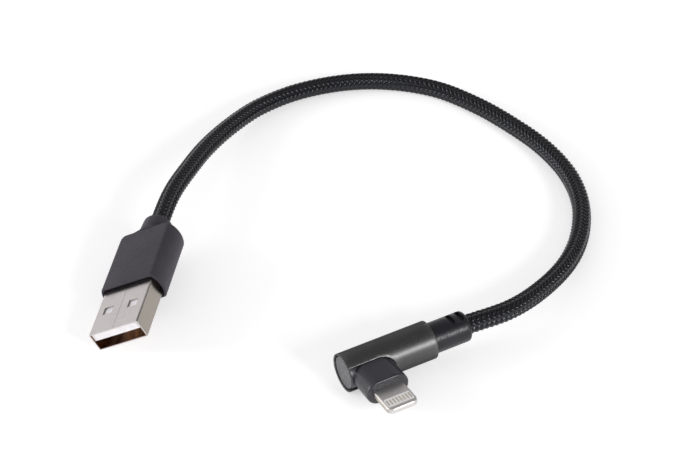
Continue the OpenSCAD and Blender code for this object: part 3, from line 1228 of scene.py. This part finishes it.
@dataclass
class UsbShell:
    """The folded steel shell: a thin rounded box with a seam along the top and latch windows."""

    width: float = 12.0 * MM
    height: float = 4.5 * MM
    wall: float = 0.3 * MM
    corner: float = 0.32 * MM
    length: float = 16.0 * MM
    window: tuple[float, float] = (2.3 * MM, 2.1 * MM)
    window_x: float = 3.05 * MM
    window_y: float = 5.6 * MM
    seam: float = 0.018 * MM
    edge: float = 0.05 * MM

    @property
    def window_edges(self) -> tuple[float, float]:
        """Returns how far from the middle a latch window starts and ends."""
        return self.window_x - self.window[0] / 2, self.window_x + self.window[0] / 2

    def section(self, inset: float) -> Outline:
        """Outline of the shell, from one side of the seam round to the other.

        Args:
            inset: How far inside the outer surface the outline lies.

        Returns:
            The outline's points, x and z.
        """
        x, z = self.width / 2 - inset, self.height / 2 - inset
        radius = self.corner - inset
        near, far = self.window_edges
        half = [(self.seam / 2, z), (near, z), (far, z)] + arc((x - radius, z - radius), radius, 90, 0, 8)
        half += arc((x - radius, radius - z), radius, 0, -90, 8) + [(far, -z), (near, -z)]
        return half + [(-px, pz) for px, pz in reversed(half)]

    def build(self) -> None:
        """Makes the shell as two sheets of cells that are joined along their open edges."""
        outline = self.section(0.0)
        rows = [0.0, self.window_y, self.window_y + self.window[1], LAYOUT.grip_front, self.length]
        shape = Shape()
        grid = [[shape.ring(at_y(loop, y)) for y in rows] for loop in (outline, self.section(self.wall))]
        cells = {(r, c) for r in range(len(rows) - 1) for c in range(len(outline) - 1)}
        solid = cells - {(1, c) for c in self.window_columns(outline)}
        for r, c in sorted(solid):
            for sheet in grid:
                shape.faces.append((sheet[r][c], sheet[r][c + 1], sheet[r + 1][c + 1], sheet[r + 1][c]))
        self.close_rims(shape, grid, solid)
        piece = Builder.piece("usb_shell_skin", shape, USB_FRAME, SHELL_FINISH, "nickel_shell", "usb_shell")
        Builder.soften(piece, self.edge)
        Builder.true_normals(piece)

    def window_columns(self, outline: Outline) -> list[int]:
        """Returns the outline's stretches that the latch windows take.

        Args:
            outline: The shell's outer outline.

        Returns:
            The stretches' numbers.
        """
        near, far = self.window_edges
        slack = 1e-9
        return [
            c
            for c, (a, b) in enumerate(zip(outline, outline[1:]))
            if abs(a[1] - b[1]) < slack and all(near - slack < abs(p[0]) < far + slack for p in (a, b))
        ]

    @staticmethod
    def close_rims(
        shape: Shape, grid: Sequence[Sequence[Sequence[int]]], solid: set[tuple[int, int]]
    ) -> None:
        """Joins the outer and inner sheets round the mouth, the tail, the seam and each window.

        Args:
            shape: The shell's shape.
            grid: The two sheets' point numbers, by row and column.
            solid: The cells that are closed.
        """
        outer, inner = grid
        for r, c in solid:
            for beside, (ra, ca), (rb, cb) in (
                ((r - 1, c), (r, c), (r, c + 1)),
                ((r + 1, c), (r + 1, c), (r + 1, c + 1)),
                ((r, c - 1), (r, c), (r + 1, c)),
                ((r, c + 1), (r, c + 1), (r + 1, c + 1)),
            ):
                if beside not in solid:
                    shape.faces.append((outer[ra][ca], outer[rb][cb], inner[rb][cb], inner[ra][ca]))


@dataclass
class UsbGrip:
    """The moulded grip: a bowed box with soft shoulders and a short neck round the cord."""

    width: float = 14.4 * MM
    height: float = 6.5 * MM
    bow: float = 5.8 * MM
    crease: float = 0.4 * MM
    shoulder: float = 1.3 * MM
    rear_edge: float = 0.35 * MM
    front_edge: float = 0.25 * MM
    neck: float = 7.0 * MM
    neck_tip: float = 6.6 * MM
    tip_round: float = 0.9 * MM
    fillet: float = 0.5 * MM
    mouth: tuple[float, float] = (12.28 * MM, 4.78 * MM)
    recess: float = 0.7 * MM
    mouth_corner: float = 0.5 * MM
    rim: float = 0.5 * MM
    rim_depth: float = 0.1 * MM
    lip: float = 0.08 * MM
    crease_run: float = 1.4
    bore: Sequence[tuple[float, float]] = ((0.15 * MM, 2.2 * MM), (2.0 * MM, 2.18 * MM))
    side_steps: int = 8
    crease_steps: int = 4
    front_rows: int = 4
    body_rows: int = 12
    shoulder_rows: int = 16
    fillet_rows: int = 7
    neck_rows: int = 8

    def body_loop(self, y: float, narrow: float, flat: float) -> Loop:
        """One section of the grip.

        Args:
            y: Where it lies along the plug.
            narrow: How far its two sides are drawn in.
            flat: How far its top and bottom are drawn in.

        Returns:
            The section's points.
        """
        half, top = self.width / 2 - narrow, self.height / 2 - flat
        reach = top - self.crease
        quarter = [(self.bowed(half, reach * t), reach * t) for t in shares(self.side_steps)]
        bend = (self.bowed(half, top), top)
        start, end = quarter[-1], (bend[0] - self.crease_run * self.crease, top)
        for t in shares(self.crease_steps, 1):
            a, b, c = (1 - t) ** 2, 2 * t * (1 - t), t * t
            quarter.append(tuple(a * p + b * q + c * r for p, q, r in zip(start, bend, end)))
        back = quarter[::-1]
        left = [(-x, z) for x, z in back] + [(-x, -z) for x, z in quarter]
        return at_y(quarter + left + [(x, -z) for x, z in back], y)

    def bowed(self, half: float, z: float) -> float:
        """Returns how far out the bowed side stands at height z."""
        return half - self.bow + math.sqrt(self.bow * self.bow - z * z)

    def round_loop(self, y: float, radius: float) -> Loop:
        """Returns one round section of the neck, with as many points as the body's."""
        steps = self.side_steps + self.crease_steps
        return at_y(rounded_rect(2 * radius, 2 * radius, radius - 1e-6, steps), y)

    def blend_loop(self, y: float, share: float) -> Loop:
        """One section between the grip's flat back and its round neck.

        Args:
            y: Where it lies along the plug.
            share: From 0 at the flat back to 1 at the neck.

        Returns:
            The section's points.
        """
        pairs = zip(self.body_loop(y, self.shoulder, self.rear_edge), self.round_loop(y, self.neck / 2))
        return [tuple(Vector(a).lerp(Vector(b), share)) for a, b in pairs]

    def front_loops(self, front: float) -> list[Loop]:
        """The loops from the pocket round the shell out over the front edge.

        Args:
            front: Where the grip's front lies along the plug.

        Returns:
            The loops, from the pocket's floor outwards.
        """
        pocket = rounded_rect(*self.mouth, self.mouth_corner, self.side_steps + self.crease_steps)
        loops = [at_y(pocket, front + depth) for depth in (2 * self.recess, self.recess)]
        for depth in (self.recess, self.rim_depth):
            loops.append(self.body_loop(front + depth, self.rim, self.rim))
        loops.append(self.body_loop(front, self.rim - self.lip, self.rim - self.lip))
        for rise, run in quarter_turn(self.front_rows, 0):
            inset = self.front_edge * (1 - rise)
            loops.append(self.body_loop(front + self.front_edge * (1 - run), inset, inset))
        return loops

    def build(self) -> None:
        """Makes the grip, from the pocket at its front to the bore at its neck's tip."""
        front, back, end = LAYOUT.grip_front, LAYOUT.grip_back, LAYOUT.neck_back
        loops = self.front_loops(front)
        for t in shares(self.body_rows):
            y = front + self.front_edge + (back - self.shoulder - front - self.front_edge) * t
            loops.append(self.body_loop(y, 0.0, 0.0))
        for rise, run in quarter_turn(self.shoulder_rows):
            y = back - self.shoulder * (1 - rise)
            past = max(0.0, (y - back + self.rear_edge) / self.rear_edge)
            flat = self.rear_edge * (1 - math.sqrt(max(0.0, 1 - past * past)))
            loops.append(self.body_loop(y, self.shoulder * (1 - run), flat))
        for rise, run in quarter_turn(self.fillet_rows):
            loops.append(self.blend_loop(back + self.fillet * (1 - run), rise))
        start = back + self.fillet
        for t in shares(self.neck_rows, 1):
            radius = self.neck / 2 + (self.neck_tip - self.neck) / 2 * t
            loops.append(self.round_loop(start + (end - start - self.tip_round) * t, radius))
        for rise, run in quarter_turn(self.neck_rows):
            radius = self.neck_tip / 2 - self.tip_round * (1 - run)
            loops.append(self.round_loop(end - self.tip_round * (1 - rise), radius))
        loops += [self.round_loop(end - depth, radius) for depth, radius in self.bore]
        shape, slot, node = Shape().loft(loops), "soft_touch_black", "usb_overmould"
        Builder.piece("usb_grip", shape, USB_FRAME, GRIP_FINISH, slot, node, sharp=50)


@dataclass
class UsbPlug:
    """The whole USB plug: shell, grip, and the CAD pieces inside."""

    shell: UsbShell = field(default_factory=UsbShell)
    grip: UsbGrip = field(default_factory=UsbGrip)

    def build(self) -> None:
        """Makes and dresses the plug's pieces."""
        self.shell.build()
        self.grip.build()
        dress_node("usb_insulator", WHITE_FINISH, 0.06 * MM)
        dress_node("usb_contacts", GOLD_FINISH, 0.04 * MM)
        dress_node("usb_solder", SOLDER_FINISH, 0.08 * MM)
        dress_node("usb_inner_mould", PlainCoat("inner_mould", (0.72, 0.7, 0.64), 0.5), 0.05 * MM)
        dress_node("usb_crimp", CRIMP_FINISH, 0.04 * MM)


# The angled tab plug


@dataclass
class SideBlock:
    """The inner moulding: a round core in the barrel and a block that leaves it sideways."""

    centre_x: float = 5.4 * MM
    width: float = 9.3 * MM
    height: float = 5.5 * MM
    root: float = 1.0 * MM
    shoulder: float = 2.5 * MM
    reach: float = 9.5 * MM
    front_edge: float = 0.45 * MM
    core_radius: float = 3.62 * MM
    core_front: float = 0.22 * MM
    core_back: float = 11.8 * MM
    core_edge: float = 0.25 * MM
    core_round: float = 0.08 * MM
    core_sides: int = 96
    tab: tuple[float, float] = (6.7 * MM, 1.5 * MM)
    slot_gap: float = 0.02 * MM
    slot_depth: float = 0.5 * MM

    def outline(self, inset: float) -> Outline:
        """Returns the block's section, drawn in by inset, as x and z."""
        return stadium(self.width - 2 * inset, self.height - 2 * inset, self.centre_x, 24)

    def build(self) -> None:
        """Makes the block and its core as one piece, with the tab's slot cut in its front."""
        loops = [at_y(self.outline(0.0), -self.root)]
        for t in shares(10):
            y = -self.shoulder - (self.reach - self.front_edge - self.shoulder) * t
            loops.append(at_y(self.outline(0.0), y))
        for rise, run in quarter_turn(6):
            y = -(self.reach - self.front_edge * (1 - rise))
            loops.append(at_y(self.outline(self.front_edge * (1 - run)), y))
        block = Shape().loft(loops)
        piece = Builder.piece(
            "tab_housing_block", block, TAB_FRAME, HOUSING_FINISH, "housing_black", "tab_housing"
        )
        Builder.carve(piece, self.core(), Cut.JOIN_ON)
        Builder.soften(piece, self.core_round)
        Builder.carve(piece, self.slot())
        piece.data.set_sharp_from_angle(angle=math.radians(30))

    def core(self) -> Shape:
        """Returns the round core, with a small chamfer at the barrel's closed end.

        Returns:
            The core's shape.
        """
        stations = (
            (self.core_front, self.core_radius - self.core_edge),
            (self.core_front + self.core_edge, self.core_radius),
            (self.core_back, self.core_radius),
        )
        return Shape().loft([[(x, y, z) for y, z in circle(r, self.core_sides)] for x, r in stations])

    def slot(self) -> Shape:
        """Returns the slot that the tab's frame comes out of.

        Returns:
            The slot's shape.
        """
        width, height = (size + 2 * self.slot_gap for size in self.tab)
        loop = stadium(width, height, self.centre_x, 12)
        return Shape().loft([at_y(loop, y) for y in (self.slot_depth - self.reach, -self.reach - 1 * MM)])


@dataclass
class Barrel:
    """The anodised sleeve: a thin tube with a notch that the side block leaves through."""

    radius: float = 4.1 * MM
    wall: float = 0.45 * MM
    length: float = 19.8 * MM
    notch_half: float = 2.9 * MM
    notch_centre: float = 7.3 * MM
    columns: int = 72
    front_rows: int = 6
    rear_rows: int = 12
    edge: float = 0.11 * MM

    def angles(self) -> tuple[list[float], list[float]]:
        """Returns the angles of the solid arc and of the notch, measured about +X from +Y.

        The notch is centred on -Y, and both lists hold its two edges.

        Returns:
            The solid arc's angles and the notch's, in degrees.
        """
        half = math.degrees(math.asin(self.notch_half / self.radius))
        solid = [-(180 - half) + 2 * (180 - half) * t for t in shares(self.columns)]
        return solid, [180 - half + 2 * half * t for t in shares(self.columns // 3)]

    def build(self) -> None:
        """Makes the sleeve as an outer and an inner sheet, joined round the ends and the notch."""
        solid, notch = self.angles()
        shape = Shape()
        sheets = [
            (self.front_sheet(shape, solid, radius), self.rear_sheet(shape, solid, notch, radius))
            for radius in (self.radius, self.radius - self.wall)
        ]
        self.close(shape, sheets)
        mesh = Builder.mesh("barrel", shape, 1e-7)
        piece = Builder.piece("barrel", mesh, TAB_FRAME, BARREL_FINISH, "anodised_barrel", "barrel_sleeve")
        Builder.soften(piece, self.edge, segments=3, angle=55)

    def point(self, x: float, angle: float, radius: float) -> tuple[float, float, float]:
        """Returns the point at a station and an angle about the barrel's axis."""
        a = math.radians(angle)
        return (x, radius * math.cos(a), radius * math.sin(a))

    def front_sheet(self, shape: Shape, solid: Sequence[float], radius: float) -> list[list[int]]:
        """Adds the open part of the tube, beside the notch's straight sides.

        Args:
            shape: The sleeve's shape.
            solid: The solid arc's angles.
            radius: The sheet's radius.

        Returns:
            The rows' point numbers.
        """
        rows = [
            shape.ring(self.point(self.notch_centre * t, a, radius) for a in solid)
            for t in shares(self.front_rows)
        ]
        shape.skins(rows, closed=False)
        return rows

    def rear_sheet(
        self, shape: Shape, solid: Sequence[float], notch: Sequence[float], radius: float
    ) -> list[list[int]]:
        """Adds the closed part of the tube, whose first row follows the notch's round end.

        Args:
            shape: The sleeve's shape.
            solid: The solid arc's angles.
            notch: The notch's angles.
            radius: The sheet's radius.

        Returns:
            The rows' point numbers.
        """
        starts = [(a, self.notch_centre) for a in solid]
        for a in notch[1:-1]:
            z = self.radius * math.sin(math.radians(a))
            starts.append((a, self.notch_centre + math.sqrt(max(0.0, self.notch_half**2 - z * z))))
        rows = [
            shape.ring(self.point(start + (self.length - start) * t, a, radius) for a, start in starts)
            for t in shares(self.rear_rows)
        ]
        shape.skins(rows)
        return rows

    def close(self, shape: Shape, sheets: Sequence[tuple[list[list[int]], list[list[int]]]]) -> None:
        """Joins the outer and inner sheets round the ends and the notch.

        Args:
            shape: The sleeve's shape.
            sheets: The front and rear rows, outer and inner.
        """
        (outer_front, outer_rear), (inner_front, inner_rear) = sheets
        shape.skin(outer_front[0], inner_front[0], closed=False)
        shape.skin(outer_rear[-1], inner_rear[-1])
        last = self.columns
        for column in (0, last):
            sides = [[row[column] for row in rows] for rows in (outer_front, inner_front)]
            shape.skin(*sides, closed=False)
        round_end = [rows[0][last:] + rows[0][:1] for rows in (outer_rear, inner_rear)]
        shape.skin(*round_end, closed=False)


@dataclass
class ContactTab:
    """The reversible tab: a plated frame round a white field with eight pads on each face."""

    centre_x: float = 5.4 * MM
    width: float = 6.7 * MM
    thick: float = 1.5 * MM
    root: float = 6.0 * MM
    tip: float = 16.15 * MM
    corner: float = 1.3 * MM
    edge: float = 0.5 * MM
    field_size: tuple[float, float] = (5.9 * MM, 2.7 * MM)
    field_corner: float = 0.35 * MM
    field_front: float = 0.8 * MM
    field_gap: float = 0.02 * MM
    field_sunk: float = 0.05 * MM
    pads: int = 8
    pitch: float = 0.7 * MM
    pad: tuple[float, float] = (0.42 * MM, 1.7 * MM)
    pad_corner: float = 0.09 * MM
    pad_depth: float = 0.12 * MM
    pad_proud: float = 0.02 * MM
    small_edge: float = 0.03 * MM

    def plan(self, inset: float) -> Outline:
        """The tab's plan, drawn in at its sides and tip.

        Args:
            inset: How far it is drawn in.

        Returns:
            The plan's points, x and y.
        """
        half, tip = self.width / 2 - inset, self.tip - inset
        turn = self.corner - 0.6 * inset
        right = arc((half - turn, turn - tip), turn, -90, 0, 12)
        return right + [(half, -self.root), (-half, -self.root)] + [(-x, y) for x, y in reversed(right)]

    def in_field(self, outline: Outline, heights: Sequence[float], shift: float = 0.0) -> list[Loop]:
        """Lays an outline about the field's middle.

        Args:
            outline: The outline's points, x and y.
            heights: The loops' heights.
            shift: How far across from the middle it lies.

        Returns:
            A loop at each height.
        """
        x0, y0 = self.centre_x + shift, self.field_front + self.field_size[1] / 2 - self.tip
        return [[(x0 + x, y0 + y, z) for x, y in outline] for z in heights]

    def build(self) -> None:
        """Makes the frame with its opening, then the field and the pads."""
        turn = quarter_turn(8, 0)
        loops = []
        for side, half_turn in ((-1, turn), (1, turn[::-1])):
            for rise, run in half_turn:
                z = side * (self.thick / 2 - self.edge * (1 - run))
                loops.append([(self.centre_x + x, y, z) for x, y in self.plan(self.edge * (1 - rise))])
        shape = Shape().loft(loops)
        piece = Builder.piece("tab_frame_skin", shape, TAB_FRAME, TAB_FINISH, "nickel_tab", "tab_frame")
        opening = rounded_rect(*self.field_size, self.field_corner, 6)
        Builder.carve(piece, Shape().loft(self.in_field(opening, (-1 * MM, 1 * MM))))
        piece.data.set_sharp_from_angle(angle=math.radians(35))
        self.build_field()

    def build_field(self) -> None:
        """Makes the white field, and eight pads on each face."""
        wide, deep = (size - 2 * self.field_gap for size in self.field_size)
        loop = rounded_rect(wide, deep, self.field_corner - self.field_gap, 6)
        level = self.thick / 2 - self.field_sunk
        shape = Shape().loft(self.in_field(loop, (-level, level)))
        slot, node = "white_insulator", "tab_insulator"
        white = Builder.piece("tab_field", shape, TAB_FRAME, FIELD_FINISH, slot, node)
        Builder.soften(white, self.small_edge, segments=1)
        loop = rounded_rect(*self.pad, self.pad_corner, 4)
        for name, sign, node in (
            ("tab_pads_upper", 1, "tab_pads_top"),
            ("tab_pads_lower", -1, "tab_pads_bottom"),
        ):
            shape = Shape()
            heights = (sign * (level - self.pad_depth), sign * (level + self.pad_proud))
            for k in range(self.pads):
                shape.loft(self.in_field(loop, heights, (k - (self.pads - 1) / 2) * self.pitch))
            piece = Builder.piece(name, shape, TAB_FRAME, PAD_FINISH, "gold_contacts", node)
            Builder.soften(piece, self.small_edge)


@dataclass
class StrainRelief:
    """The flexible sleeve behind the barrel, with slots that let it bend."""

    radius: float = 3.3 * MM
    front: float = 12.2 * MM
    overlap: float = 0.4 * MM
    collar: float = 3.6 * MM
    nose: float = 0.8 * MM
    bore: float = 2.19 * MM
    inner_bore: float = 1.9 * MM
    bore_depth: float = 3.0 * MM
    lip: tuple[float, float, float] = (0.02 * MM, 0.12 * MM, 0.15 * MM)
    edge: float = 0.07 * MM
    sides: int = 96
    slots: tuple[float, ...] = (24.9 * MM, 27.0 * MM)
    slot_width: float = 1.1 * MM
    slot_length: float = 3.3 * MM
    slot_floor: float = 2.3 * MM
    slot_top: float = 4.0 * MM

    def outline(self) -> Outline:
        """Returns the sleeve's section, as x and radius, from its front end round to its bore.

        Returns:
            The section's points.
        """
        back, rim = LAYOUT.relief_back, LAYOUT.barrel_back - self.overlap
        points = [(self.front, self.inner_bore), (self.front, self.collar)]
        points += [(rim, self.collar), (rim, self.radius)]
        points += [(rim + (back - self.nose - rim) * t, self.radius) for t in shares(8, 1)]
        for rise, run in quarter_turn(8):
            points.append((back - self.nose * (1 - rise), self.radius - self.nose * (1 - run)))
        points += [(back - self.lip[0], self.bore + self.lip[1]), (back - self.lip[2], self.bore)]
        return points + [(back - self.bore_depth, self.bore), (back - self.bore_depth, self.inner_bore)]

    def build(self) -> None:
        """Makes the strain relief, with its slots above and below."""
        shape = Shape()
        loops = [shape.ring((x, y, z) for y, z in circle(r, self.sides)) for x, r in self.outline()]
        shape.skins(loops + loops[:1])
        slot, node = "relief_black", "strain_relief"
        piece = Builder.piece("relief_sleeve", shape, TAB_FRAME, RELIEF_FINISH, slot, node)
        for x in self.slots:
            for sign in (1, -1):
                Builder.carve(piece, self.slot(x, sign))
        Builder.soften(piece, self.edge)

    def slot(self, x: float, sign: int) -> Shape:
        """One bending slot.

        Args:
            x: Where it lies along the sleeve.
            sign: 1 above the axis, -1 below.

        Returns:
            The slot's shape.
        """
        radius = self.slot_width / 2
        half = self.slot_length / 2 - radius
        loop = arc((x, half), radius, 0, 180, 8) + arc((x, -half), radius, 180, 360, 8)
        heights = (sign * self.slot_floor, sign * self.slot_top)
        return Shape().loft([[(px, py, z) for px, py in loop] for z in heights])


@dataclass
class TabPlug:
    """The whole angled plug: barrel, side block, tab, strain relief and what they hold."""

    barrel: Barrel = field(default_factory=Barrel)
    block: SideBlock = field(default_factory=SideBlock)
    tab: ContactTab = field(default_factory=ContactTab)
    relief: StrainRelief = field(default_factory=StrainRelief)

    def build(self) -> None:
        """Makes and dresses the plug's pieces."""
        for part in (self.barrel, self.block, self.tab, self.relief):
            part.build()
        dress_node("tab_circuit_board", PlainCoat("board_green", (0.03, 0.16, 0.07), 0.3), 0.03 * MM)
        dress_node("tab_chip", PlainCoat("chip_black", (0.03, 0.03, 0.03), 0.5), 0.04 * MM)
        dress_node("tab_capacitors", PlainCoat("capacitor_tan", (0.35, 0.26, 0.16), 0.4), 0.03 * MM)
        dress_node("tab_solder", SOLDER_FINISH, 0.06 * MM)
        dress_node("barrel_crimp", CRIMP_FINISH, 0.04 * MM)


def dress_node(node: str, finish: Finish, edge: float = 0.0) -> None:
    """Dresses a CAD node that shows as it is.

    Args:
        node: The node's name.
        finish: What it is dressed with.
        edge: How far its edges are rounded, in metres.
    """
    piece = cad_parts[node]
    piece.data.materials.clear()
    piece.data.materials.append(finish.material())
    if edge:
        Builder.round_edges(piece, edge, segments=2, angle=50)
    log.info("%s: CAD solid, %s", node, finish.label())


# The studio


@dataclass
class Studio:
    """Camera, pale floor and soft lights."""

    eye: tuple[float, float, float] = (14.2 * MM, -320.4 * MM, 277 * MM)
    elevation: float = 38.0
    lens: float = 104.66
    sensor: float = 36.0
    floor_size: float = 3.0
    floor_colour: Colour = (0.82, 0.82, 0.82)
    floor_glow: float = 0.5
    low_light: float = 0.85
    high_light: float = 0.36
    left_light: float = 1.3
    right_light: float = 0.5
    light_colour: Colour = (1.0, 0.985, 1.0)
    aim: tuple[float, float, float] = (0.01, 0.0, 0.0)

    def camera(self) -> None:
        """Makes the camera and sets it as the scene's."""
        lens = bpy.data.cameras.new("camera")
        lens.lens = self.lens
        lens.sensor_width = self.sensor
        lens.clip_start, lens.clip_end = 0.01, 20.0
        made = bpy.data.objects.new("camera", lens)
        made.location = self.eye
        made.rotation_euler = (math.radians(90 - self.elevation), 0, 0)
        bpy.context.scene.collection.objects.link(made)
        bpy.context.scene.camera = made

    def floor(self) -> None:
        """Lays the floor."""
        half = self.floor_size / 2
        shape = Shape()
        corners = [(-half, -half, 0), (half, -half, 0), (half, half, 0), (-half, half, 0)]
        shape.faces.append(tuple(shape.ring(corners)))
        mesh = Builder.mesh("floor", shape)
        made = bpy.data.objects.new("floor", mesh)
        bpy.context.scene.collection.objects.link(made)
        mesh.materials.append(FloorCard("floor_card", self.floor_colour, self.floor_glow).material())

    def lights(self) -> None:
        """Hangs the soft boxes and lights the surroundings, brighter low down than overhead."""
        world = bpy.data.worlds.new("surroundings")
        world.use_nodes = True
        sheet = NodeSheet(world.node_tree)
        toward = sheet.split(sheet.add("ShaderNodeTexCoord").outputs["Generated"])
        rise = sheet.spread(toward["Z"], 0.15, 0.85, self.low_light, self.high_light)
        across = sheet.spread(toward["X"], -0.9, 0.9, self.left_light, self.right_light)
        background = world.node_tree.nodes["Background"]
        background.inputs["Color"].default_value = opaque(self.light_colour)
        sheet.feed(background.inputs["Strength"], sheet.maths("MULTIPLY", rise, across))
        bpy.context.scene.world = world
        bpy.context.scene.view_settings.view_transform = "Standard"
        self.soft_box("key", (0.8, -0.75, 0.48), size=0.3, power=6.4)
        self.soft_box("left", (-1.1, -0.05, 0.36), size=0.4, power=4.6)

    def soft_box(self, name: str, at: tuple[float, float, float], size: float, power: float) -> None:
        """Hangs one square soft box that points at the cable.

        Args:
            name: The light's name.
            at: Where it hangs.
            size: Its width, in metres.
            power: Its power, in watts.
        """
        light = bpy.data.lights.new(name, "AREA")
        light.size = size
        light.energy = power
        made = bpy.data.objects.new(name, light)
        made.location = at
        made.rotation_euler = (Vector(self.aim) - Vector(at)).to_track_quat("-Z", "Y").to_euler()
        bpy.context.scene.collection.objects.link(made)


def main() -> None:
    """Builds the camera, the cord, both plugs, the floor and the lights, in that order."""
    logging.basicConfig(level=logging.INFO, format="%(name)s: %(message)s")
    studio = Studio()
    studio.camera()
    route = Route()
    Braid(route).build()
    CordCore(route).build()
    UsbPlug().build()
    TabPlug().build()
    studio.floor()
    studio.lights()


if __name__ == "__main__":
    main()
